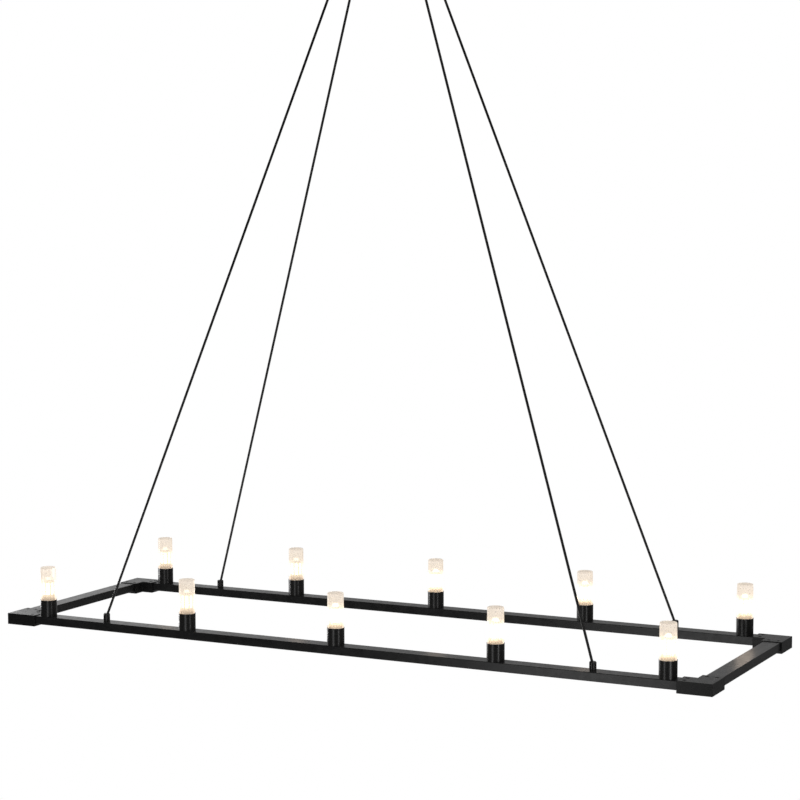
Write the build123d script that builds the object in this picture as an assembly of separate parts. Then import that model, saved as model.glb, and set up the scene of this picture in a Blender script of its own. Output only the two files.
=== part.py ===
from build123d import *
import os
from math import atan2, cos, degrees, hypot, sin

# Linear island pendant: a flat rectangular frame of steel tube with a row of small glass
# lamps on each long side. Four taut cables run from the long sides to one hub, which hangs
# on a ball in the ceiling canopy.
# Millimetres, +Z up, +X along the long rails. The origin is on the ceiling, at the middle
# of the mounting strap.

# ---- driving dimensions -------------------------------------------------------------

# frame tubes
LAMPS_PER_ROW = 5
LAMP_PITCH = 300.0            # between lamps along a rail
END_BAR_OFFSET = 62.0         # from the end lamp to the middle of the end bar
ROW_SPACING = 390.0           # between the middles of the two long rails
TUBE_WIDTH = 30.0
TUBE_HEIGHT = 15.0
TUBE_WALL = 1.5
TUBE_EDGE_R = 1.0
TUBE_INNER_EDGE_R = 0.5

# corner brackets, keys and screws
BRACKET_ARM = 60.0            # outside length of each arm
BRACKET_OUTER_WALL = 3.0
BRACKET_INNER_WALL = 4.0
BRACKET_TOP_WALL = 1.2
BRACKET_BOTTOM_WALL = 4.2
BRACKET_EDGE_R = 0.6
BRACKET_FIT = 0.1             # clearance between bracket and tube
KEY_FIT = 0.2                 # clearance between key and tube
KEY_ARM = 56.0
SCREW_R = 1.75
SCREW_HEAD_R = 3.2
SCREW_HEAD_RIM = 0.2
SCREW_LENGTH = 9.0
SCREW_HEX = 2.5               # across flats
SCREW_HEX_DEPTH = 1.2
SCREW_FROM_ARM_END = 10.0
SCREW_PAIR_HALF = 8.5         # each side of the arm's middle
SCREW_TIP_ROOM = 1.0          # under a screw's tip in its tapped hole
HOLE_CLEARANCE = 0.1          # round a screw shank or a threaded tube
CUT_PAST = 1.0                # how far a cut runs on past the face that it opens

# lamp: cup, nipple, nuts, holder
CUP_R = 15.0
CUP_HEIGHT = 30.0
CUP_WALL = 0.7
CUP_FLOOR = 2.0
CUP_GROOVE_DROP = 3.0         # from the rim down to the fine groove round the cup
CUP_GROOVE_WIDTH = 0.6
CUP_GROOVE_DEPTH = 0.25
NIPPLE_R = 4.0
NIPPLE_BORE_R = 2.5
NIPPLE_BELOW = 3.5            # reach below the tube's top wall
NIPPLE_IN_HOLDER = 4.0
NUT_FLATS = 12.0
NUT_HEIGHT = 3.0
THREAD_FIT = 0.04
HOLDER_FLANGE_R = 13.8
HOLDER_SKIRT = 6.0            # depth of the hollow that clears the nut
HOLDER_SKIRT_WALL = 4.0
HOLDER_FLANGE_HEIGHT = 13.0   # from the cup floor to the ledge under the glass
HOLDER_NECK_R = 10.5
HOLDER_NECK_HEIGHT = 12.0

# glass shade
GLASS_R = 14.0
GLASS_WALL = 1.8
GLASS_TOP_WALL = 2.5
GLASS_HEIGHT = 75.0
GLASS_EDGE_R = 1.6

# two-pin lamp with upright light strips
PIN_R = 0.6
PIN_HALF_SPACING = 4.5
PIN_LENGTH = 12.0
PIN_CLEARANCE = 0.3
BULB_BASE_R = 8.6
BULB_BASE_HEIGHT = 9.0
BULB_CORE_FLAT = 15.0         # across the flats of the six-sided core
BULB_CORE_HEIGHT = 28.0
STRIP_WIDTH = 5.0
STRIP_LENGTH = 25.0
STRIP_THICKNESS = 0.9
BULB_CAP_R = 7.2
BULB_CAP_HEIGHT = 3.0
BULB_LENS_R = 4.5
BULB_LENS_HEIGHT = 4.0
BULB_LENS_EDGE_R = 1.5
BULB_EDGE_R = 0.8

# cables, anchors and ball ends
CABLE_R = 2.25
ANCHOR_INBOARD = 128.0        # from the end lamp to the cable anchor
ANCHOR_R = 6.0
ANCHOR_HEIGHT = 15.0
ANCHOR_CHAMFER = 1.2
ANCHOR_BALL_HEIGHT = 9.5      # middle of the ball end above the rail
CABLE_BALL_R = 3.0
BALL_POCKET_CLEARANCE = 0.3
CABLE_BORE_CLEARANCE = 0.2
CABLE_DROP = 1382.0           # from the point where the cables aim down to the rail tops

# ceiling fitting
CANOPY_R = 65.0
CANOPY_DEPTH = 26.0
CANOPY_WALL = 1.2
CANOPY_EDGE_R = 6.0
STRAP_LENGTH = 116.0
STRAP_WIDTH = 20.0
STRAP_THICKNESS = 2.5
STRAP_CORNER_R = 5.0
STRAP_WIRE_HOLE_R = 5.0
SLOT_SPACING = 88.9           # between the middles of the two slots
SLOT_LENGTH = 16.0
SLOT_HALF_WIDTH = 2.4
CANOPY_SCREW_HALF = 28.0      # from the middle to each canopy screw
CANOPY_SCREW_R = 2.0
CANOPY_SCREW_HEAD_R = 4.5
CANOPY_SCREW_HEAD = 6.0
CANOPY_SCREW_CHAMFER = 0.9
TERMINAL_LENGTH = 14.0
TERMINAL_WIDTH = 17.0
TERMINAL_HEIGHT = 9.0
TERMINAL_FROM_MIDDLE = 7.0
TERMINAL_HOLE_R = 1.6
TERMINAL_POLES = 3

# ball swivel
BALL_R = 11.0
BALL_BELOW_CANOPY = 4.0       # middle of the ball under the canopy's underside
SPHERE_CLEARANCE = 0.3
SEAT_THICKNESS = 1.7
SEAT_OPENING_R = 7.4
SEAT_TOP_DROP = 1.5           # from the ball's middle down to the seat's upper edge
SOCKET_WALL = 3.5
SOCKET_OPENING_R = 9.5
SOCKET_LIP_DROP = 10.5        # from the ball's middle down to the socket's lip
SOCKET_FLANGE_OVERHANG = 3.5
SOCKET_FLANGE = 3.0
STEM_R = 4.0
STEM_BORE_R = 2.2
SWIVEL_CLEARANCE = 0.3        # between the stem and the hub that turns on it

# cable hub
HUB_DROP = 18.0               # from the ball's middle down to the hub's top
HUB_R = 23.0
HUB_HEIGHT = 26.0
HUB_SHOULDER = 9.0            # height of the rounded shoulder
HUB_PLATE = 8.0               # solid top that rests on the stem nut
HUB_CAVITY_R = 8.5
HUB_CAP_THICKNESS = 2.0
HUB_EDGE_R = 1.0
STEM_BELOW_NUT = 2.0
CABLE_IN_HUB = 14.0           # height that a cable reaches up into the hub
CABLE_PASSAGE = 3.5           # height that its bore runs on above the cable
SET_SCREW_R = 2.0
SET_SCREW_HEIGHT = 6.0        # above the hub's underside
SET_SCREW_RECESS = 0.5        # below the hub's side

# ---- places worked out from them ----------------------------------------------------

END_LAMP_X = LAMP_PITCH * (LAMPS_PER_ROW - 1) / 2
END_BAR_X = END_LAMP_X + END_BAR_OFFSET
ROW_Y = ROW_SPACING / 2
ANCHOR_X = END_LAMP_X - ANCHOR_INBOARD
FRAME_LENGTH = 2 * END_BAR_X + TUBE_WIDTH
FRAME_WIDTH = ROW_SPACING + TUBE_WIDTH
APEX_Z = -CANOPY_DEPTH - BALL_BELOW_CANOPY
RAIL_Z = APEX_Z - CABLE_DROP
HUB_TOP_Z = APEX_Z - HUB_DROP
HUB_BASE_Z = HUB_TOP_Z - HUB_HEIGHT
HOLDER_LEDGE = CUP_FLOOR + HOLDER_FLANGE_HEIGHT
HOLDER_TOP = HOLDER_LEDGE + HOLDER_NECK_HEIGHT
HOLDER_BORE_BASE = CUP_FLOOR + HOLDER_SKIRT
CABLE_SLOPE = hypot(ANCHOR_X, ROW_Y) / (CABLE_DROP - ANCHOR_BALL_HEIGHT)

ROWS = {"front": -1, "back": 1}
SIDES = {"left": -1, "right": 1}
CORNERS = {f"{row}_{side}": (SIDES[side], ROWS[row]) for row in ROWS for side in SIDES}


def lamp_places():
    """Number and place of every lamp on the rail tops, front row first, left to right."""
    places = []
    for y_sign in ROWS.values():
        for i in range(LAMPS_PER_ROW):
            x = LAMP_PITCH * i - END_LAMP_X
            places.append((len(places) + 1, (x, y_sign * ROW_Y, RAIL_Z)))
    return places


# ---- small helpers ------------------------------------------------------------------

def upright(radius, base, top):
    """Cylinder about Z from one height to another."""
    return Pos(0, 0, base) * Cylinder(radius, top - base, align=(Align.CENTER, Align.CENTER, Align.MIN))


def hexagon(flats, base, top):
    """Six-sided prism about Z, with a flat facing +X."""
    plan = RegularPolygon(flats / 2, 6, major_radius=False, rotation=30)
    return extrude(Pos(0, 0, base) * plan, amount=top - base)


def turned(points):
    """Solid of revolution about Z from (radius, height) points."""
    outline = Polyline(*[(r, 0, z) for r, z in points], close=True)
    return revolve(make_face(outline), axis=Axis.Z)


def placed(shape, x_sign, y_sign):
    """Copy of a shape that is made for the right back corner, at another corner."""
    copy = shape if x_sign > 0 else mirror(shape, about=Plane.YZ)
    return copy if y_sign > 0 else mirror(copy, about=Plane.XZ)


def group(shapes):
    """Separate solids kept in one node."""
    return Compound(children=[solid for shape in shapes for solid in shape.solids()])


# ---- frame --------------------------------------------------------------------------

def mitred_bar(length):
    """Tube along X with its top at zero, mitred so that the long side faces -Y."""
    middle = Plane.YZ * Pos(0, -TUBE_HEIGHT / 2)
    outside = RectangleRounded(TUBE_WIDTH, TUBE_HEIGHT, TUBE_EDGE_R)
    inside = RectangleRounded(TUBE_WIDTH - 2 * TUBE_WALL, TUBE_HEIGHT - 2 * TUBE_WALL,
                              TUBE_INNER_EDGE_R)
    tube = extrude(middle * (outside - inside), amount=length / 2, both=True)
    half = TUBE_WIDTH / 2
    plan = Polyline((-length / 2, -half), (length / 2, -half), (length / 2 - TUBE_WIDTH, half),
                    (-length / 2 + TUBE_WIDTH, half), close=True)
    return tube & extrude(make_face(plan), amount=TUBE_HEIGHT, both=True)


def frame_screw(clearance):
    """Countersunk screw with its head's face at zero. A clearance makes its hole's cutter."""
    head_r = SCREW_HEAD_R + clearance
    shank_r = SCREW_R + clearance
    cone_base = -SCREW_HEAD_RIM - (head_r - shank_r)
    return turned([(0, 0), (head_r, 0), (head_r, -SCREW_HEAD_RIM), (shank_r, cone_base),
                   (shank_r, -SCREW_LENGTH - clearance), (0, -SCREW_LENGTH - clearance)])


def corner_screw_places():
    """Screw heads on the back right bracket: two across each arm, near its end."""
    end_x = END_BAR_X + TUBE_WIDTH / 2 + BRACKET_OUTER_WALL - BRACKET_ARM + SCREW_FROM_ARM_END
    end_y = ROW_Y + TUBE_WIDTH / 2 + BRACKET_OUTER_WALL - BRACKET_ARM + SCREW_FROM_ARM_END
    head_z = RAIL_Z + BRACKET_TOP_WALL
    for offset in (-SCREW_PAIR_HALF, SCREW_PAIR_HALF):
        yield Pos(end_x, ROW_Y + offset, head_z)
        yield Pos(END_BAR_X + offset, end_y, head_z)


def corner_angle(outer, width, arm, base, top):
    """L-shaped block with its outer corner towards +X +Y, outer past the tubes' middles."""
    x = END_BAR_X + outer
    y = ROW_Y + outer
    plan = Polyline((x, y), (x - arm, y), (x - arm, y - width), (x - width, y - width),
                    (x - width, y - arm), (x, y - arm), close=True)
    return extrude(Pos(0, 0, RAIL_Z + base) * make_face(plan), amount=top - base)


def corner_bracket():
    outer = TUBE_WIDTH / 2 + BRACKET_OUTER_WALL
    width = TUBE_WIDTH + BRACKET_OUTER_WALL + BRACKET_INNER_WALL
    base = -TUBE_HEIGHT - BRACKET_BOTTOM_WALL
    block = corner_angle(outer, width, BRACKET_ARM, base, BRACKET_TOP_WALL)
    block = fillet(block.edges(), BRACKET_EDGE_R)
    bore = corner_angle(TUBE_WIDTH / 2 + BRACKET_FIT, TUBE_WIDTH + 2 * BRACKET_FIT, 2 * BRACKET_ARM,
                        -TUBE_HEIGHT - BRACKET_FIT, BRACKET_FIT)
    holes = [place * frame_screw(HOLE_CLEARANCE) for place in corner_screw_places()]
    return block - bore - holes


def corner_key():
    """Solid angle inside the two tubes, which the bracket's screws pull tight."""
    inset = TUBE_WALL + KEY_FIT
    width = TUBE_WIDTH - 2 * inset
    key = corner_angle(width / 2, width, KEY_ARM, inset - TUBE_HEIGHT, -inset)
    tapped = upright(SCREW_R + THREAD_FIT, -SCREW_LENGTH - SCREW_TIP_ROOM, 0)
    return key - [place * tapped for place in corner_screw_places()]


def corner_screws():
    recess = hexagon(SCREW_HEX, -SCREW_HEX_DEPTH, CUT_PAST)
    return [place * (frame_screw(0) - recess) for place in corner_screw_places()]


def frame_bars():
    """The two rails and two end bars, drilled for lamps, anchors and bracket screws."""
    rail = mitred_bar(FRAME_LENGTH)
    end_bar = mitred_bar(FRAME_WIDTH)
    bars = {
        "front_rail": Pos(0, -ROW_Y, RAIL_Z) * rail,
        "back_rail": Pos(0, ROW_Y, RAIL_Z) * Rot(0, 0, 180) * rail,
        "left_end_bar": Pos(-END_BAR_X, 0, RAIL_Z) * Rot(0, 0, -90) * end_bar,
        "right_end_bar": Pos(END_BAR_X, 0, RAIL_Z) * Rot(0, 0, 90) * end_bar,
    }
    hole = upright(NIPPLE_R + HOLE_CLEARANCE, -TUBE_WALL - CUT_PAST, CUT_PAST)
    lamp_holes = [Pos(*place) * hole for _, place in lamp_places()]
    anchor_holes = [placed(Pos(ANCHOR_X, ROW_Y, RAIL_Z) * hole, *signs) for signs in CORNERS.values()]
    screw_holes = [placed(place * frame_screw(HOLE_CLEARANCE), *signs)
                   for place in corner_screw_places() for signs in CORNERS.values()]
    cutters = Compound(children=lamp_holes + anchor_holes + screw_holes)
    return {name: bar - [c for c in cutters.solids() if touches(bar, c)] for name, bar in bars.items()}


def touches(bar, cutter):
    """Whether a cutter's middle lies within a bar's outline, seen from above."""
    box = bar.bounding_box()
    middle = cutter.center()
    return box.min.X < middle.X < box.max.X and box.min.Y < middle.Y < box.max.Y


# ---- lamps --------------------------------------------------------------------------

def socket_cup():
    """Thin cup on the rail, with a fine groove below its rim."""
    cup = upright(CUP_R, 0, CUP_HEIGHT) - upright(CUP_R - CUP_WALL, CUP_FLOOR, CUP_HEIGHT)
    groove_top = CUP_HEIGHT - CUP_GROOVE_DROP
    ring = upright(CUP_R + CUT_PAST, groove_top - CUP_GROOVE_WIDTH, groove_top)
    ring -= upright(CUP_R - CUP_GROOVE_DEPTH, groove_top - CUP_GROOVE_WIDTH, groove_top)
    return cup - ring - upright(NIPPLE_R + HOLE_CLEARANCE, 0, CUP_FLOOR)


def cup_nipple():
    """Threaded tube that holds cup and holder on the rail and passes the wires."""
    base = -TUBE_WALL - NIPPLE_BELOW
    top = HOLDER_BORE_BASE + NIPPLE_IN_HOLDER
    return upright(NIPPLE_R, base, top) - upright(NIPPLE_BORE_R, base, top)


def lock_nut(base):
    top = base + NUT_HEIGHT
    return hexagon(NUT_FLATS, base, top) - upright(NIPPLE_R + THREAD_FIT, base, top)


def lamp_holder():
    """Ceramic holder, screwed on the nipple, with a ledge for the glass and two pin holes."""
    body = upright(HOLDER_FLANGE_R, CUP_FLOOR, HOLDER_LEDGE)
    body += upright(HOLDER_NECK_R, HOLDER_LEDGE, HOLDER_TOP)
    body -= upright(HOLDER_FLANGE_R - HOLDER_SKIRT_WALL, CUP_FLOOR, HOLDER_BORE_BASE)
    body -= upright(NIPPLE_R + THREAD_FIT, HOLDER_BORE_BASE, HOLDER_BORE_BASE + NIPPLE_IN_HOLDER)
    for x in (-PIN_HALF_SPACING, PIN_HALF_SPACING):
        hole = upright(PIN_R + PIN_CLEARANCE, HOLDER_TOP - PIN_LENGTH - PIN_CLEARANCE, HOLDER_TOP)
        body -= Pos(x, 0, 0) * hole
    return body


def glass_shade():
    """Straight tube of glass with a closed, flat top. It stands on the holder's ledge."""
    top = HOLDER_LEDGE + GLASS_HEIGHT
    outside = upright(GLASS_R, HOLDER_LEDGE, top)
    outside = fillet(outside.edges().group_by(Axis.Z)[-1], GLASS_EDGE_R)
    inside = upright(GLASS_R - GLASS_WALL, HOLDER_LEDGE, top - GLASS_TOP_WALL)
    inside = fillet(inside.edges().group_by(Axis.Z)[-1], GLASS_EDGE_R)
    return outside - inside


def led_bulb():
    """Two-pin lamp: round base, six-sided core with a light strip on each flat, lens on top."""
    core_base = HOLDER_TOP + BULB_BASE_HEIGHT
    core_top = core_base + BULB_CORE_HEIGHT
    base = fillet(upright(BULB_BASE_R, HOLDER_TOP, core_base).edges(), BULB_EDGE_R)
    bulb = base + hexagon(BULB_CORE_FLAT, core_base, core_top)
    for i in range(6):
        strip = Box(2 * STRIP_THICKNESS, STRIP_WIDTH, STRIP_LENGTH)
        middle = Pos(BULB_CORE_FLAT / 2, 0, core_base + BULB_CORE_HEIGHT / 2)
        bulb += Rot(0, 0, 60 * i) * middle * strip
    bulb += upright(BULB_CAP_R, core_top, core_top + BULB_CAP_HEIGHT)
    lens_base = core_top + BULB_CAP_HEIGHT
    lens = upright(BULB_LENS_R, lens_base, lens_base + BULB_LENS_HEIGHT)
    bulb += fillet(lens.edges().group_by(Axis.Z)[-1], BULB_LENS_EDGE_R)
    for x in (-PIN_HALF_SPACING, PIN_HALF_SPACING):
        bulb += Pos(x, 0, 0) * upright(PIN_R, HOLDER_TOP - PIN_LENGTH, HOLDER_TOP)
    return bulb


# ---- cables -------------------------------------------------------------------------

def along_cable(height):
    """Point on the back right cable's line, at a height above the ceiling's zero."""
    run = (APEX_Z - height) * CABLE_SLOPE
    angle = atan2(ROW_Y, ANCHOR_X)
    return Vector(run * cos(angle), run * sin(angle), height)


def rod_between(start, end, radius):
    """Straight round rod between two points."""
    line = Line(start, end)
    return sweep(Plane(origin=start, z_dir=end - start) * Circle(radius), path=line)


BALL_END_Z = RAIL_Z + ANCHOR_BALL_HEIGHT
CABLE_START = along_cable(BALL_END_Z)
CABLE_END = along_cable(HUB_BASE_Z + CABLE_IN_HUB)


def cable():
    """Taut round cable from the ball end in its anchor up into the hub."""
    return rod_between(CABLE_START, CABLE_END, CABLE_R)


def cable_ball_end():
    """Ball pressed on the cable's lower end."""
    bore = rod_between(CABLE_START, along_cable(BALL_END_Z + 2 * CABLE_BALL_R), CABLE_R + THREAD_FIT)
    return Pos(*CABLE_START) * Sphere(CABLE_BALL_R) - bore


def cable_anchor():
    """Upright barrel on the rail that traps the ball end, bored along the cable's line."""
    pocket_r = CABLE_BALL_R + BALL_POCKET_CLEARANCE
    stub_base = -TUBE_WALL - NIPPLE_BELOW
    barrel = upright(ANCHOR_R, 0, ANCHOR_HEIGHT)
    barrel = chamfer(barrel.edges().group_by(Axis.Z)[-1], ANCHOR_CHAMFER)
    barrel += upright(NIPPLE_R, stub_base, 0)
    barrel -= upright(pocket_r, stub_base, ANCHOR_BALL_HEIGHT)
    barrel -= Pos(0, 0, ANCHOR_BALL_HEIGHT) * Sphere(pocket_r)
    outside = along_cable(RAIL_Z + 2 * ANCHOR_HEIGHT)
    exit_bore = rod_between(CABLE_START, outside, CABLE_R + CABLE_BORE_CLEARANCE)
    return Pos(ANCHOR_X, ROW_Y, RAIL_Z) * barrel - exit_bore


# ---- hub and ball swivel ------------------------------------------------------------

def hub_body():
    """Turned hub with a rounded shoulder, hollow below its top plate."""
    shoulder_z = HUB_TOP_Z - HUB_SHOULDER
    flat_r = HUB_R - HUB_SHOULDER
    profile = Polyline((0, HUB_TOP_Z), (flat_r, HUB_TOP_Z))
    profile += RadiusArc((flat_r, HUB_TOP_Z), (HUB_R, shoulder_z), HUB_SHOULDER)
    profile += Polyline((HUB_R, shoulder_z), (HUB_R, HUB_BASE_Z + HUB_EDGE_R),
                        (HUB_R - HUB_EDGE_R, HUB_BASE_Z), (0, HUB_BASE_Z), (0, HUB_TOP_Z))
    body = revolve(Plane.XZ * make_face(profile), axis=Axis.Z)
    body -= upright(STEM_R + SWIVEL_CLEARANCE, HUB_TOP_Z - HUB_PLATE, HUB_TOP_Z)
    return body - upright(HUB_CAVITY_R, HUB_BASE_Z, HUB_TOP_Z - HUB_PLATE)


def set_screw_rod(start_r, end_r, radius):
    """Level rod that points at the back right cable inside the hub, between two radii."""
    height = HUB_BASE_Z + SET_SCREW_HEIGHT
    outward = Vector(ANCHOR_X, ROW_Y, 0).normalized()
    middle = Vector(0, 0, height)
    return rod_between(middle + outward * start_r, middle + outward * end_r, radius)


CABLE_AT_SCREW_R = (APEX_Z - HUB_BASE_Z - SET_SCREW_HEIGHT) * CABLE_SLOPE


def set_screw():
    """Grub screw that grips the leaning cable from the hub's side."""
    start_r = CABLE_AT_SCREW_R + CABLE_R * hypot(1, CABLE_SLOPE) + SET_SCREW_R * CABLE_SLOPE + THREAD_FIT
    return set_screw_rod(start_r, HUB_R - SET_SCREW_RECESS, SET_SCREW_R)


def cable_hub():
    hub = hub_body()
    bore_base = along_cable(HUB_BASE_Z - CUT_PAST)
    bore_top = along_cable(HUB_BASE_Z + CABLE_IN_HUB + CABLE_PASSAGE)
    bore = rod_between(bore_base, bore_top, CABLE_R + CABLE_BORE_CLEARANCE)
    tapped = set_screw_rod(CABLE_AT_SCREW_R, 2 * HUB_R, SET_SCREW_R + THREAD_FIT)
    for signs in CORNERS.values():
        hub -= placed(bore, *signs)
        hub -= placed(tapped, *signs)
    return hub


def hub_cap():
    return upright(HUB_CAVITY_R - HOLE_CLEARANCE, HUB_BASE_Z, HUB_BASE_Z + HUB_CAP_THICKNESS)


def swivel_ball():
    """Hollow ball with a threaded stem that carries the hub."""
    stem_base = HUB_TOP_Z - HUB_PLATE - NUT_HEIGHT - STEM_BELOW_NUT
    ball = Pos(0, 0, APEX_Z) * Sphere(BALL_R) + upright(STEM_R, stem_base, APEX_Z)
    return ball - upright(STEM_BORE_R, stem_base, APEX_Z + BALL_R)


def stem_nut():
    return lock_nut(HUB_TOP_Z - HUB_PLATE - NUT_HEIGHT)


def ball_seat():
    """Spherical washer between the ball and its socket."""
    inner_r = BALL_R + SPHERE_CLEARANCE
    shell = Sphere(inner_r + SEAT_THICKNESS) - Sphere(inner_r)
    band = upright(inner_r + SEAT_THICKNESS + CUT_PAST, -inner_r, -SEAT_TOP_DROP)
    band -= upright(SEAT_OPENING_R, -2 * BALL_R, 0)
    return Pos(0, 0, APEX_Z) * (shell & band)


def ball_socket():
    """Turned cup that hangs by its flange in the canopy and holds the seat from below."""
    cavity_r = BALL_R + SEAT_THICKNESS + 2 * SPHERE_CLEARANCE
    outer_r = cavity_r + SOCKET_WALL
    flange_base = -CANOPY_DEPTH + CANOPY_WALL
    flange_top = flange_base + SOCKET_FLANGE
    lip_z = APEX_Z - SOCKET_LIP_DROP
    socket = upright(outer_r, lip_z, flange_top)
    socket += upright(outer_r + SOCKET_FLANGE_OVERHANG, flange_base, flange_top)
    socket -= Pos(0, 0, APEX_Z) * Sphere(cavity_r)
    socket -= upright(cavity_r, APEX_Z, flange_top)
    return socket - upright(SOCKET_OPENING_R, lip_z, APEX_Z)


# ---- ceiling fitting ----------------------------------------------------------------

def canopy():
    """Round pan, open to the ceiling, with holes for the socket and two screws."""
    outside = upright(CANOPY_R, -CANOPY_DEPTH, 0)
    outside = fillet(outside.edges().group_by(Axis.Z)[0], CANOPY_EDGE_R)
    inside = upright(CANOPY_R - CANOPY_WALL, -CANOPY_DEPTH + CANOPY_WALL, 0)
    inside = fillet(inside.edges().group_by(Axis.Z)[0], CANOPY_EDGE_R - CANOPY_WALL)
    pan = outside - inside
    socket_r = BALL_R + SEAT_THICKNESS + 2 * SPHERE_CLEARANCE + SOCKET_WALL
    pan -= upright(socket_r + HOLE_CLEARANCE, -CANOPY_DEPTH, 0)
    for x in (-CANOPY_SCREW_HALF, CANOPY_SCREW_HALF):
        pan -= Pos(x, 0, 0) * upright(CANOPY_SCREW_R + HOLE_CLEARANCE, -CANOPY_DEPTH, 0)
    return pan


def mounting_strap():
    """Flat steel strap against the ceiling box, slotted for the box's two screws."""
    strap = Pos(0, 0, -STRAP_THICKNESS / 2) * Box(STRAP_LENGTH, STRAP_WIDTH, STRAP_THICKNESS)
    strap = fillet(strap.edges().filter_by(Axis.Z), STRAP_CORNER_R)
    strap -= upright(STRAP_WIRE_HOLE_R, -STRAP_THICKNESS, 0)
    for sign in SIDES.values():
        slot = SlotOverall(SLOT_LENGTH, 2 * SLOT_HALF_WIDTH)
        strap -= extrude(Pos(sign * SLOT_SPACING / 2, 0, 0) * slot, amount=-STRAP_THICKNESS)
        tapped = upright(CANOPY_SCREW_R + THREAD_FIT, -STRAP_THICKNESS, 0)
        strap -= Pos(sign * CANOPY_SCREW_HALF, 0, 0) * tapped
    return strap


def canopy_screws():
    """Two knurled screws that hold the canopy up against the strap."""
    screw = upright(CANOPY_SCREW_R, -CANOPY_DEPTH, 0)
    head = upright(CANOPY_SCREW_HEAD_R, -CANOPY_DEPTH - CANOPY_SCREW_HEAD, -CANOPY_DEPTH)
    screw += chamfer(head.edges().group_by(Axis.Z)[0], CANOPY_SCREW_CHAMFER)
    return [Pos(sign * CANOPY_SCREW_HALF, 0, 0) * screw for sign in SIDES.values()]


def terminal_block():
    """Block under the strap where the house wiring meets the pendant's own."""
    middle_x = -TERMINAL_FROM_MIDDLE - TERMINAL_LENGTH / 2
    middle_z = -STRAP_THICKNESS - TERMINAL_HEIGHT / 2
    block = Box(TERMINAL_LENGTH, TERMINAL_WIDTH, TERMINAL_HEIGHT)
    for i in range(TERMINAL_POLES):
        y = (i - (TERMINAL_POLES - 1) / 2) * TERMINAL_WIDTH / TERMINAL_POLES
        block -= Pos(0, y, 0) * Rot(0, 90, 0) * Cylinder(TERMINAL_HOLE_R, TERMINAL_LENGTH)
    return Pos(middle_x, 0, middle_z) * block


# ---- nodes --------------------------------------------------------------------------

def lamp_nodes():
    """Cup, glass and bulb of every lamp, and the small parts that all lamps share by kind."""
    cup = socket_cup()
    glass = glass_shade()
    bulb = led_bulb()
    holder = lamp_holder()
    nipple = cup_nipple()
    nuts = [lock_nut(-TUBE_WALL - NUT_HEIGHT), lock_nut(CUP_FLOOR)]
    nodes = {}
    for number, place in lamp_places():
        nodes[f"socket_cup_{number}"] = Pos(*place) * cup
        nodes[f"glass_shade_{number}"] = Pos(*place) * glass
        nodes[f"led_bulb_{number}"] = Pos(*place) * bulb
    places = [Pos(*place) for _, place in lamp_places()]
    nodes["lamp_holders"] = group([place * holder for place in places])
    nodes["cup_nipples"] = group([place * nipple for place in places])
    anchor_nut = Pos(ANCHOR_X, ROW_Y, RAIL_Z) * lock_nut(-TUBE_WALL - NUT_HEIGHT)
    anchor_nuts = [placed(anchor_nut, *signs) for signs in CORNERS.values()]
    nodes["lock_nuts"] = group([place * nut for place in places for nut in nuts] + anchor_nuts)
    return nodes


def corner_nodes():
    """Brackets and cables of the four corners, and the small parts that they share by kind."""
    bracket = corner_bracket()
    rope = cable()
    nodes = {}
    for name, signs in CORNERS.items():
        nodes[f"corner_bracket_{name}"] = placed(bracket, *signs)
        nodes[f"cable_{name}"] = placed(rope, *signs)
    shared = {
        "corner_keys": [corner_key()],
        "corner_screws": corner_screws(),
        "cable_anchors": [cable_anchor()],
        "cable_ball_ends": [cable_ball_end()],
        "hub_set_screws": [set_screw()],
    }
    for name, shapes in shared.items():
        nodes[name] = group([placed(shape, *signs) for signs in CORNERS.values() for shape in shapes])
    return nodes


def ceiling_nodes():
    return {
        "cable_hub": cable_hub(),
        "hub_cap": hub_cap(),
        "swivel_ball": swivel_ball(),
        "stem_nut": stem_nut(),
        "ball_seat": ball_seat(),
        "ball_socket": ball_socket(),
        "canopy": canopy(),
        "mounting_strap": mounting_strap(),
        "canopy_screws": group(canopy_screws()),
        "terminal_block": terminal_block(),
    }


def main():
    os.makedirs("parts", exist_ok=True)
    nodes = frame_bars() | lamp_nodes() | corner_nodes() | ceiling_nodes()
    for name, shape in nodes.items():
        export_step(shape, f"parts/{name}.step")
    cable_length = (CABLE_END - CABLE_START).length
    print(len(nodes), "nodes; frame", FRAME_LENGTH, "x", FRAME_WIDTH, "; cable", round(cable_length, 1))
    print("cable leans", round(degrees(atan2(CABLE_SLOPE, 1)), 2), "degrees")


main()
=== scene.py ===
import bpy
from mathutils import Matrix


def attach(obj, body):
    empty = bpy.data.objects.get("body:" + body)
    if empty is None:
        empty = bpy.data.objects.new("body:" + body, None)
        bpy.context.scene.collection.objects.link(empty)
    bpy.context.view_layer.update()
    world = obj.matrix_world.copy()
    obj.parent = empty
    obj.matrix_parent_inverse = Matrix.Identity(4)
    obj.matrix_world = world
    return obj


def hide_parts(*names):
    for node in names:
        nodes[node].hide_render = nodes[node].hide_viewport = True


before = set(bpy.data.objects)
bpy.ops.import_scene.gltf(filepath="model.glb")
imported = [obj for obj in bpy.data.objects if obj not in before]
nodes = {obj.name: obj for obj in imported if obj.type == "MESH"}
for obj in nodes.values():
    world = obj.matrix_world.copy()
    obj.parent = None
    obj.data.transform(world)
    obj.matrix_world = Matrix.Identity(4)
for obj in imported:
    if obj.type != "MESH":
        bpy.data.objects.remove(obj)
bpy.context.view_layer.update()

import math

import bmesh
import bpy
from mathutils import Euler, Quaternion, Vector

bpy.context.scene.view_settings.view_transform = "Standard"

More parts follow.
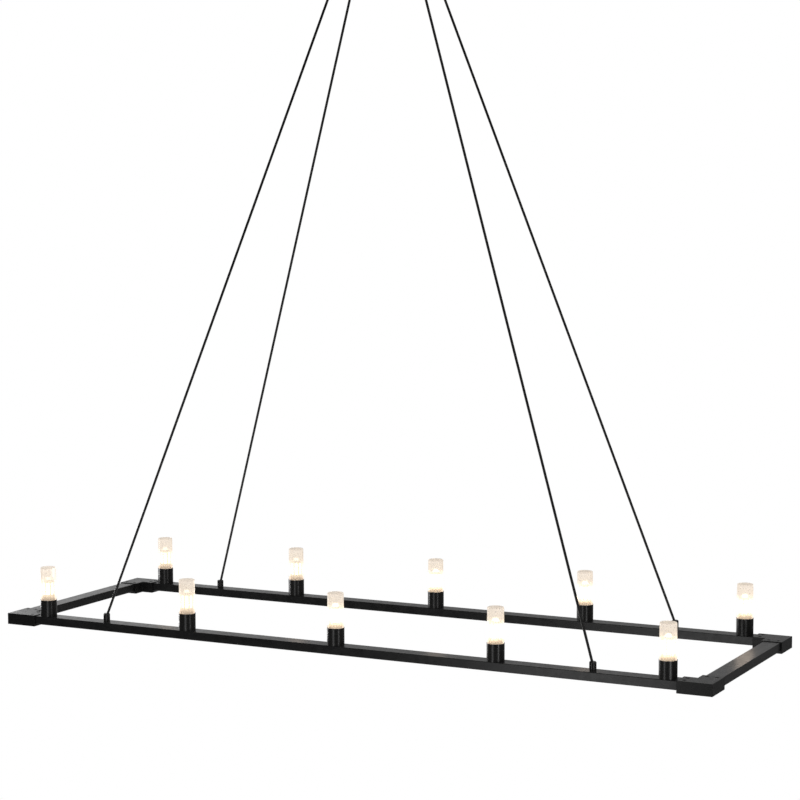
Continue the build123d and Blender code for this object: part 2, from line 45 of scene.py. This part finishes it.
# camera: a long lens a little above the frame, looking along it from the right
FOCAL_LENGTH_MM = 97.182
SENSOR_MM = 36.0
CAMERA_PLACE = (1.7517, -3.39188, -0.66976)
CAMERA_TILT_DOWN = 0.08831  # radians, as are the two below
CAMERA_TURN = 0.4708
CAMERA_ROLL = -0.00275
CLIP_NEAR = 0.05
CLIP_FAR = 60.0

camera_data = bpy.data.cameras.new("photo_camera")
camera_data.lens = FOCAL_LENGTH_MM
camera_data.sensor_width = SENSOR_MM
camera_data.clip_start = CLIP_NEAR
camera_data.clip_end = CLIP_FAR
camera = bpy.data.objects.new("photo_camera", camera_data)
camera.location = CAMERA_PLACE
aim = Euler((math.pi / 2 - CAMERA_TILT_DOWN, 0.0, CAMERA_TURN)).to_quaternion()
camera.rotation_mode = "QUATERNION"
camera.rotation_quaternion = aim @ Quaternion((0.0, 0.0, 1.0), CAMERA_ROLL)
bpy.context.scene.collection.objects.link(camera)
bpy.context.scene.camera = camera

# cables: from the ball end in each anchor straight up into the hub (back right one, in metres)
CABLE_DIAMETER = 0.0045
CABLE_FOOT = (0.472, 0.195, -1.4025)
CABLE_MIDDLE = (0.241158, 0.099631, -0.73125)
CABLE_HEAD = (0.010317, 0.004262, -0.060)
CORNERS = {
    "front_left": (-1, -1),
    "front_right": (1, -1),
    "back_left": (-1, 1),
    "back_right": (1, 1),
}


def cable(corner, sign_x, sign_y):
    """A taut cable as one smooth round curve, standing for the CAD cable of its corner."""
    curve = bpy.data.curves.new("cable_line_" + corner, "CURVE")
    curve.dimensions = "3D"
    curve.bevel_depth = 1.0  # times each point's radius
    curve.bevel_resolution = 6
    curve.resolution_u = 24
    curve.use_fill_caps = True
    spline = curve.splines.new("NURBS")
    route = (CABLE_FOOT, CABLE_MIDDLE, CABLE_HEAD)
    spline.points.add(len(route) - 1)
    for point, (x, y, z) in zip(spline.points, route):
        point.co = (x * sign_x, y * sign_y, z, 1.0)
        point.radius = CABLE_DIAMETER / 2
    spline.order_u = 3
    spline.use_endpoint_u = True
    piece = bpy.data.objects.new("cable_line_" + corner, curve)
    bpy.context.scene.collection.objects.link(piece)
    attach(piece, "pendant")
    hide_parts("cable_" + corner)
    return piece


cables = [cable(corner, *signs) for corner, signs in CORNERS.items()]

# most noise values lie between these
NOISE_LOW = 0.3
NOISE_HIGH = 0.7


class Shader:
    """Short names for the nodes of one material, or of the world."""

    def __init__(self, name, world=False):
        kind = bpy.data.worlds if world else bpy.data.materials
        self.data = kind.new(name)
        self.data.use_nodes = True
        self.tree = self.data.node_tree
        self.tree.nodes.clear()
        self.output = self.add("OutputWorld" if world else "OutputMaterial")
        self.coordinates = self.add("TexCoord")

    def add(self, kind):
        return self.tree.nodes.new("ShaderNode" + kind)

    def link(self, source, target):
        self.tree.links.new(source, target)

    def set(self, socket, value):
        """Links a socket or sets a plain value."""
        if isinstance(value, bpy.types.NodeSocket):
            self.link(value, socket)
        else:
            socket.default_value = value

    def math(self, operation, a, b=0.0):
        node = self.add("Math")
        node.operation = operation
        for socket, value in zip(node.inputs, (a, b)):
            self.set(socket, value)
        return node.outputs[0]

    def axes(self, kind):
        """x, y and z of the Generated or Object coordinates."""
        node = self.add("SeparateXYZ")
        self.link(self.coordinates.outputs[kind], node.inputs[0])
        return tuple(node.outputs)

    def hypotenuse(self, x, y):
        squares = self.math("ADD", self.math("MULTIPLY", x, x), self.math("MULTIPLY", y, y))
        return self.math("SQRT", squares)

    def ramp(self, value, from_low, from_high, to_low, to_high):
        """A smooth step from one level to another."""
        node = self.add("MapRange")
        node.interpolation_type = "SMOOTHSTEP"
        for socket, item in zip(node.inputs, (value, from_low, from_high, to_low, to_high)):
            self.set(socket, item)
        return node.outputs[0]

    def spread(self, noise, low, high):
        """A noise value brought to lie between low and high."""
        return self.ramp(noise, NOISE_LOW, NOISE_HIGH, low, high)

    def between(self, value, low, high, soft):
        """1 where low < value < high, with soft edges of that width."""
        rise = self.ramp(value, low - soft, low + soft, 0.0, 1.0)
        fall = self.ramp(value, high - soft, high + soft, 1.0, 0.0)
        return self.math("MULTIPLY", rise, fall)

    def noise(self, scale, detail=3.0, roughness=0.55, stretch=None):
        """Noise with that many cells to a metre."""
        node = self.add("TexNoise")
        node.inputs["Scale"].default_value = scale
        node.inputs["Detail"].default_value = detail
        node.inputs["Roughness"].default_value = roughness
        source = self.coordinates.outputs["Object"]
        if stretch:
            scaled = self.add("VectorMath")
            scaled.operation = "MULTIPLY"
            scaled.inputs[1].default_value = stretch
            self.link(source, scaled.inputs[0])
            source = scaled.outputs[0]
        self.link(source, node.inputs["Vector"])
        return node.outputs["Fac"]

    def cells(self, scale):
        node = self.add("TexVoronoi")
        node.inputs["Scale"].default_value = scale
        self.link(self.coordinates.outputs["Object"], node.inputs["Vector"])
        return node

    def mix(self, factor, a, b):
        """Colour a where factor is 0, b where it is 1."""
        node = self.add("Mix")
        node.data_type = "RGBA"
        self.set(node.inputs["Factor"], factor)
        for socket, value in ((node.inputs[6], a), (node.inputs[7], b)):
            self.set(socket, value if isinstance(value, bpy.types.NodeSocket) else (*value, 1.0))
        return node.outputs[2]

    def mix_value(self, factor, a, b):
        """Value a where factor is 0, b where it is 1."""
        node = self.add("Mix")
        for index, value in ((0, factor), (2, a), (3, b)):
            self.set(node.inputs[index], value)
        return node.outputs[0]

    def blend(self, factor, a, b):
        """Surface a where factor is 0, b where it is 1."""
        node = self.add("MixShader")
        for socket, source in zip(node.inputs, (factor, a, b)):
            self.link(source, socket)
        return node.outputs[0]

    def bump(self, height, distance, normal=None):
        """A normal from a height, in metres from low to high."""
        node = self.add("Bump")
        node.inputs["Distance"].default_value = distance
        node.inputs["Strength"].default_value = 1.0
        self.link(height, node.inputs["Height"])
        if normal:
            self.link(normal, node.inputs["Normal"])
        return node.outputs[0]

    def surface(self, base, roughness, **more):
        """A Principled surface as the material's output."""
        node = self.add("BsdfPrincipled")
        colour = base if isinstance(base, bpy.types.NodeSocket) else (*base, 1.0)
        self.set(node.inputs["Base Color"], colour)
        self.set(node.inputs["Roughness"], roughness)
        for name, value in more.items():
            self.set(node.inputs[name.replace("_", " ")], value)
        self.link(node.outputs[0], self.output.inputs["Surface"])
        return node


# black finishes
def satin_black(name, base=0.0042, rough=(0.27, 0.33), peel=0.000003, waves=0.00002):
    """Smooth black powder coat: orange peel, faint waviness, a few lighter dust specks."""
    s = Shader(name)
    cloud = s.noise(38.0, 4.0)
    speck = s.ramp(s.cells(900.0).outputs["Distance"], 0.05, 0.13, 1.0, 0.0)
    patches = s.ramp(s.noise(130.0, 2.0), 0.52, 0.66, 0.0, 1.0)
    dust = s.math("MULTIPLY", s.math("MULTIPLY", speck, patches), 0.5)
    deep = (base * 0.75, base * 0.75, base * 0.8)
    light = (base * 1.5, base * 1.5, base * 1.55)
    paint = s.mix(s.spread(cloud, 0.0, 1.0), deep, light)
    colour = s.mix(dust, paint, (0.045, 0.043, 0.040))
    sheen = s.ramp(s.noise(95.0, 5.0), 0.3, 0.72, rough[0], rough[1])
    roughness = s.math("ADD", sheen, s.math("MULTIPLY", dust, 0.3))
    slow = s.bump(s.noise(26.0, 1.0), waves)
    fine = s.bump(s.noise(1400.0, 2.0), peel, normal=slow)
    s.surface(colour, roughness, Normal=fine, IOR=1.5)
    return s.data


def cast_black():
    """The corner brackets: the same black over a slightly grainy casting."""
    s = Shader("bracket_black")
    grain = s.noise(1700.0, 4.0, 0.7)
    worn = s.ramp(grain, 0.35, 0.7, 0.0, 1.0)
    colour = s.mix(worn, (0.0028, 0.0028, 0.003), (0.0085, 0.0084, 0.0082))
    roughness = s.spread(s.noise(160.0, 4.0), 0.26, 0.34)
    casting = s.bump(s.noise(120.0, 2.0), 0.00003)
    normal = s.bump(grain, 0.000008, normal=casting)
    s.surface(colour, roughness, Normal=normal, IOR=1.5, Specular_IOR_Level=0.25)
    return s.data


def turned_black():
    """The lamp cups: black over a turned barrel, with faint rings round it."""
    s = Shader("cup_black")
    rings = s.noise(60.0, 3.0, stretch=(0.5, 0.5, 42.0))
    colour = s.mix(rings, (0.0026, 0.0025, 0.0024), (0.0062, 0.006, 0.0057))
    roughness = s.spread(s.noise(210.0, 4.0), 0.24, 0.31)
    normal = s.bump(rings, 0.000005, normal=s.bump(s.noise(1300.0, 2.0), 0.000003))
    s.surface(colour, roughness, Normal=normal, IOR=1.5)
    return s.data


def oxide_black():
    """Screws: black oxide, rubbed a little on the heads."""
    s = Shader("oxide_black")
    worn = s.ramp(s.noise(700.0, 5.0, 0.7), 0.5, 0.75, 0.0, 0.5)
    colour = s.mix(worn, (0.002, 0.002, 0.0021), (0.012, 0.0115, 0.011))
    roughness = s.spread(s.noise(900.0, 3.0), 0.45, 0.65)
    normal = s.bump(s.noise(2400.0, 3.0), 0.00002)
    s.surface(colour, roughness, Normal=normal, Specular_IOR_Level=0.04)
    return s.data


def sheath_black():
    """Round smooth cable sheath."""
    s = Shader("sheath_black")
    colour = s.mix(s.noise(300.0, 4.0), (0.0015, 0.0015, 0.0016), (0.0045, 0.0045, 0.0047))
    roughness = s.spread(s.noise(90.0, 4.0), 0.3, 0.42)
    normal = s.bump(s.noise(1500.0, 3.0), 0.000004)
    s.surface(colour, roughness, Normal=normal, Specular_IOR_Level=0.35)
    return s.data


# hidden and ceiling-side materials
def zinc_steel():
    """Zinc-plated steel with fine spangle and a few dull stains."""
    s = Shader("zinc_steel")
    spangle = s.cells(420.0).outputs["Color"]
    tone = s.mix(spangle, (0.50, 0.50, 0.49), (0.64, 0.64, 0.63))
    stain = s.ramp(s.noise(90.0, 5.0), 0.45, 0.75, 0.0, 0.35)
    colour = s.mix(stain, tone, (0.46, 0.44, 0.38))
    roughness = s.spread(s.noise(240.0, 5.0), 0.26, 0.44)
    normal = s.bump(s.noise(60.0, 3.0, stretch=(1.0, 28.0, 28.0)), 0.00002)
    s.surface(colour, roughness, Metallic=1.0, Normal=normal)
    return s.data


def sawn_aluminium():
    """Aluminium bar, sawn, with fine lines across it."""
    s = Shader("sawn_aluminium")
    lines = s.noise(70.0, 4.0, stretch=(1.0, 1.0, 34.0))
    colour = s.mix(lines, (0.60, 0.60, 0.61), (0.76, 0.76, 0.77))
    roughness = s.spread(lines, 0.28, 0.46)
    s.surface(colour, roughness, Metallic=1.0, Normal=s.bump(lines, 0.00004))
    return s.data


def moulded(name, low, high, rough, grain, subsurface=0.0):
    """Pale moulded plastic or pressed ceramic."""
    s = Shader(name)
    colour = s.mix(s.noise(180.0, 5.0), low, high)
    roughness = s.spread(s.noise(260.0, 4.0), rough[0], rough[1])
    normal = s.bump(s.noise(1500.0, 4.0), grain)
    s.surface(colour, roughness, Normal=normal, Subsurface_Weight=subsurface, Subsurface_Scale=0.001)
    return s.data


# glass: colours, and where its faces and bands lie as shares of its own box
GLASS_TINT_LOW = (0.96, 0.91, 0.86)
GLASS_TINT_HIGH = (0.98, 0.94, 0.90)
MILK = (0.97, 0.912, 0.845)
# painted shade: a darker, warmer milk for the glass's lower band, where less lamp light falls
MILK_PAINTED_SHADE = (0.68, 0.56, 0.45)
CLEAR_TINT = (0.975, 0.95, 0.915)
GLOW_TINT = (1.0, 0.86, 0.74)
OUTSIDE_FACE = (0.45, 0.47)
TOP_FACE = (0.975, 0.985)
LOW_BAND = (0.24, 0.40)
HIGH_BAND = (0.5, 0.8)
GLOW_BAND = (0.45, 0.8)


def ray_kinds(s):
    """Two masks: mirrored rays, and soft rays (diffuse and shadow); rays from the eye are neither."""
    path = s.add("LightPath")
    outside = s.math("SUBTRACT", 1.0, path.outputs["Is Transmission Ray"])
    mirrored = s.math("MULTIPLY", path.outputs["Is Glossy Ray"], outside)
    soft = s.math("MAXIMUM", path.outputs["Is Shadow Ray"], path.outputs["Is Diffuse Ray"])
    return mirrored, soft


def frosted_glass():
    """Warm glass tube, frosted outside and clear inside, its milk painted darker towards its foot as
    shade; in mirrors it is an even warm glow.
    """
    s = Shader("frosted_glass")
    cloud = s.noise(150.0, 5.0)
    across, deep, z = s.axes("Generated")
    x = s.math("SUBTRACT", across, 0.5)
    y = s.math("SUBTRACT", deep, 0.5)
    wall = s.ramp(s.hypotenuse(x, y), *OUTSIDE_FACE, 0.0, 1.0)
    outside = s.math("MAXIMUM", wall, s.ramp(z, *TOP_FACE, 0.0, 1.0))
    low = s.ramp(z, *LOW_BAND, 1.0, 0.0)
    colour = s.mix(s.spread(cloud, 0.0, 1.0), GLASS_TINT_LOW, GLASS_TINT_HIGH)
    frost = s.spread(s.noise(420.0, 4.0), 0.26, 0.34)
    roughness = s.mix_value(outside, 0.03, frost)
    body = s.surface(colour, roughness, IOR=1.46, Transmission_Weight=1.0)
    milk = s.add("BsdfTranslucent")
    # painted shade: the milk turns darker and warmer towards the glass's foot
    s.link(s.mix(low, MILK, MILK_PAINTED_SHADE), milk.inputs["Color"])
    milkier_up = s.ramp(z, *HIGH_BAND, 0.32, 0.60)
    milkiness = s.math("ADD", milkier_up, s.math("MULTIPLY", low, 0.3))
    share = s.math("MULTIPLY", outside, s.math("ADD", milkiness, s.spread(cloud, -0.03, 0.03)))
    frosted = s.blend(share, body.outputs[0], milk.outputs[0])
    clear = s.add("BsdfTransparent")
    clear.inputs[0].default_value = (*CLEAR_TINT, 1.0)
    glow = s.add("Emission")
    glow.inputs["Color"].default_value = (*GLOW_TINT, 1.0)
    s.link(s.ramp(z, *GLOW_BAND, 2.3, 0.8), glow.inputs["Strength"])
    mirrored, soft = ray_kinds(s)
    passing = s.blend(soft, frosted, clear.outputs[0])
    s.link(s.blend(mirrored, passing, glow.outputs[0]), s.output.inputs["Surface"])
    s.data.cycles.emission_sampling = "NONE"
    return s.data


# heights in the lamp, as shares of its whole height
PINS_TOP = 12 / 56
BASE_TOP = 21 / 56
STRIP_BASE = 25 / 56
STRIP_TOP = 46.5 / 56
CAP_BASE = 49 / 56
LENS_BASE = 52 / 56
HEIGHT_EDGE = 0.004
# how far out the strips' faces lie, as a share of the lamp's width
STRIP_OUT = 0.453
STRIP_EDGE = 0.006
CHIP_ROWS = 9.0
SIDE_TURN = math.pi / 3  # six sides
LAMP_LIGHT = (1.0, 0.885, 0.66)


def led_lamp(name, glow, lens_glow, even_glow):
    """Two-pin lamp: pins, white base, six-sided core with six lit strips, and a lens.

    The eye sees glow on the strips and lens_glow on the lens; all else sees even_glow on the core.
    """
    s = Shader(name)
    across, deep, z = s.axes("Generated")
    x = s.math("SUBTRACT", across, 0.5)
    y = s.math("SUBTRACT", deep, 0.5)
    turn = s.math("ADD", s.math("ARCTAN2", y, x), SIDE_TURN / 2)
    off_middle = s.math("SUBTRACT", s.math("FLOORED_MODULO", turn, SIDE_TURN), SIDE_TURN / 2)
    reach = s.math("MULTIPLY", s.hypotenuse(x, y), s.math("COSINE", off_middle))
    outer = s.ramp(reach, STRIP_OUT - STRIP_EDGE, STRIP_OUT + STRIP_EDGE, 0.0, 1.0)
    strip = s.math("MULTIPLY", outer, s.between(z, STRIP_BASE, STRIP_TOP, HEIGHT_EDGE))
    along = s.math("DIVIDE", s.math("SUBTRACT", z, STRIP_BASE), STRIP_TOP - STRIP_BASE)
    wave = s.math("COSINE", s.math("MULTIPLY", along, CHIP_ROWS * 2 * math.pi))
    chips = s.ramp(wave, -1.0, 1.0, 1.15, 0.82)
    lens = s.ramp(z, LENS_BASE - HEIGHT_EDGE, LENS_BASE + HEIGHT_EDGE, 0.0, 1.0)
    pins = s.ramp(z, PINS_TOP - HEIGHT_EDGE, PINS_TOP + HEIGHT_EDGE, 1.0, 0.0)
    core = s.between(z, BASE_TOP, CAP_BASE, HEIGHT_EDGE)
    cloud = s.noise(300.0, 4.0)
    white = s.mix(cloud, (0.78, 0.76, 0.71), (0.88, 0.86, 0.82))
    body = s.mix(core, white, (0.84, 0.82, 0.74))
    lit = s.mix(strip, body, (0.95, 0.80, 0.42))
    colour = s.mix(pins, lit, (0.62, 0.61, 0.58))
    roughness = s.spread(s.noise(600.0, 3.0), 0.30, 0.45)
    strip_light = s.math("MULTIPLY", s.math("MULTIPLY", strip, chips), glow)
    seen = s.math("ADD", strip_light, s.math("MULTIPLY", lens, lens_glow))
    even = s.math("MULTIPLY", core, even_glow)
    light = s.mix_value(s.math("MAXIMUM", *ray_kinds(s)), seen, even)
    s.surface(
        colour,
        roughness,
        Metallic=pins,
        Normal=s.bump(cloud, 0.00002),
        Emission_Color=(*LAMP_LIGHT, 1.0),
        Emission_Strength=light,
    )
    s.data.cycles.emission_sampling = "NONE"
    return s.data


tube_paint = satin_black("tube_black")
ceiling_paint = satin_black("canopy_black", base=0.006, rough=(0.2, 0.34))
bracket_paint = cast_black()
cup_paint = turned_black()
screw_finish = oxide_black()
sheath = sheath_black()
zinc = zinc_steel()
aluminium = sawn_aluminium()
nylon = moulded(
    "seat_nylon", (0.66, 0.64, 0.56), (0.78, 0.76, 0.69), (0.4, 0.55), 0.00003, subsurface=0.15
)
ceramic = moulded("holder_ceramic", (0.78, 0.76, 0.70), (0.89, 0.87, 0.83), (0.5, 0.75), 0.00006)
plastic = moulded(
    "terminal_plastic", (0.74, 0.73, 0.69), (0.82, 0.81, 0.78), (0.3, 0.42), 0.00002, subsurface=0.1
)
glass = frosted_glass()
soft_lamp = led_lamp("led_lamp_soft", glow=3.4, lens_glow=1.4, even_glow=0.9)
bright_lamp = led_lamp("led_lamp_bright", glow=9.0, lens_glow=3.5, even_glow=3.0)
SOFT_LAMPS = {"led_bulb_1", "led_bulb_2", "led_bulb_6", "led_bulb_7"}

MATERIALS = {
    "front_rail": tube_paint,
    "back_rail": tube_paint,
    "left_end_bar": tube_paint,
    "right_end_bar": tube_paint,
    "socket_cup": cup_paint,
    "cable_anchors": cup_paint,
    "corner_bracket": bracket_paint,
    "corner_screws": screw_finish,
    "hub_set_screws": screw_finish,
    "corner_keys": aluminium,
    "cable_ball_ends": zinc,
    "cup_nipples": zinc,
    "lock_nuts": zinc,
    "mounting_strap": zinc,
    "stem_nut": zinc,
    "lamp_holders": ceramic,
    "ball_seat": nylon,
    "terminal_block": plastic,
    "glass_shade": glass,
    "canopy": ceiling_paint,
    "canopy_screws": ceiling_paint,
    "cable_hub": ceiling_paint,
    "hub_cap": ceiling_paint,
    "swivel_ball": ceiling_paint,
    "ball_socket": ceiling_paint,
    "cable": sheath,
}


def finish_of(name):
    """The material of a CAD node: the longest entry that its name starts with."""
    if name.startswith("led_bulb"):
        return soft_lamp if name in SOFT_LAMPS else bright_lamp
    return MATERIALS[max((key for key in MATERIALS if name.startswith(key)), key=len)]


for name, part in nodes.items():
    part.data.materials.clear()
    part.data.materials.append(finish_of(name))
for line in cables:
    line.data.materials.append(sheath)

# studio: pale floor below, white surround, soft lights
FLOOR_Z = -2.7
FLOOR_RADIUS = 3.4
FLOOR_FADE = (1.8, 0.97 * FLOOR_RADIUS)
FLOOR_GLOW = 0.42


def studio_floor():
    """Pale round floor that keeps the shadow and fades into the surround; no underside shows."""
    shape = bmesh.new()
    bmesh.ops.create_circle(shape, cap_ends=True, segments=128, radius=FLOOR_RADIUS)
    mesh = bpy.data.meshes.new("studio_floor")
    shape.to_mesh(mesh)
    shape.free()
    floor = bpy.data.objects.new("studio_floor", mesh)
    floor.location = (0.0, 0.0, FLOOR_Z)
    bpy.context.scene.collection.objects.link(floor)
    s = Shader("studio_floor")
    diffuse = s.add("BsdfDiffuse")
    s.link(s.mix(s.noise(2.5, 5.0), (0.80, 0.80, 0.80), (0.84, 0.84, 0.84)), diffuse.inputs["Color"])
    glow = s.add("Emission")
    glow.inputs["Strength"].default_value = FLOOR_GLOW
    lifted = s.add("AddShader")
    s.link(diffuse.outputs[0], lifted.inputs[0])
    s.link(glow.outputs[0], lifted.inputs[1])
    from_eye = s.add("LightPath").outputs["Is Camera Ray"]
    seen = s.blend(from_eye, diffuse.outputs[0], lifted.outputs[0])
    x, y, _ = s.axes("Object")
    gone = s.ramp(s.hypotenuse(x, y), *FLOOR_FADE, 0.0, 1.0)
    underside = s.add("NewGeometry").outputs["Backfacing"]
    hidden = s.math("MAXIMUM", gone, underside)
    nothing = s.add("BsdfTransparent").outputs[0]
    s.link(s.blend(hidden, seen, nothing), s.output.inputs["Surface"])
    mesh.materials.append(s.data)


FRONT_WALL = 0.06  # what gloss sees of the studio's front wall
FILL = 0.84  # what diffuse surfaces see all round


def studio_surround():
    """White to the eye and through glass; in gloss, a studio that is brighter at the back left."""
    s = Shader("studio_surround", world=True)
    x, y, z = s.axes("Generated")
    left_end = s.ramp(x, -0.64, -0.43, 1.1, 0.40)
    back_wall = s.math("MULTIPLY", left_end, s.ramp(x, -0.33, 0.1, 1.0, 0.3))
    to_back = s.ramp(y, -0.15, 0.15, 0.0, 1.0)
    walls = s.mix_value(to_back, FRONT_WALL, back_wall)
    overhead = s.ramp(x, -0.3, 0.3, 0.03, 0.55)
    studio = s.mix_value(s.ramp(z, 0.30, 0.5, 0.0, 1.0), walls, overhead)
    path = s.add("LightPath")
    lit = s.mix_value(path.outputs["Is Glossy Ray"], FILL, studio)
    white = s.math("MAXIMUM", path.outputs["Is Camera Ray"], path.outputs["Is Transmission Ray"])
    background = s.add("Background")
    background.inputs["Color"].default_value = (1.0, 1.0, 1.0, 1.0)
    s.link(s.mix_value(white, lit, 1.0), background.inputs["Strength"])
    s.link(background.outputs[0], s.output.inputs["Surface"])
    bpy.context.scene.world = s.data


def softbox(name, place, target, width, height, radiance):
    """Rectangular soft light whose face shows that radiance in gloss."""
    data = bpy.data.lights.new(name, "AREA")
    data.shape = "RECTANGLE"
    data.size = width
    data.size_y = height
    data.energy = radiance * math.pi * width * height
    light = bpy.data.objects.new(name, data)
    light.location = place
    aim = Vector(target) - Vector(place)
    light.rotation_mode = "QUATERNION"
    light.rotation_quaternion = aim.to_track_quat("-Z", "Y")
    light.visible_camera = False
    bpy.context.scene.collection.objects.link(light)
    return light


studio_floor()
studio_surround()
# name, place, target, width, height, radiance
softbox("front_softbox", (-0.07, -1.6, -1.5), (0.0, 0.0, -1.45), 0.42, 1.3, 1.7)
right = softbox("right_strip", (1.13, -0.64, -1.4), (0.3, 0.0, -1.4), 0.13, 0.8, 4.2)
left = softbox("left_strip", (-1.0, 0.12, -1.4), (0.0, 0.19, -1.4), 0.1, 0.5, 12.0)
top = softbox("top_softbox", (0.0, 0.0, 2.2), (0.0, 0.0, -1.4), 3.2, 2.0, 3.0)
top.visible_glossy = False
for strip in (right, left):
    strip.visible_diffuse = False
    strip.visible_transmission = False
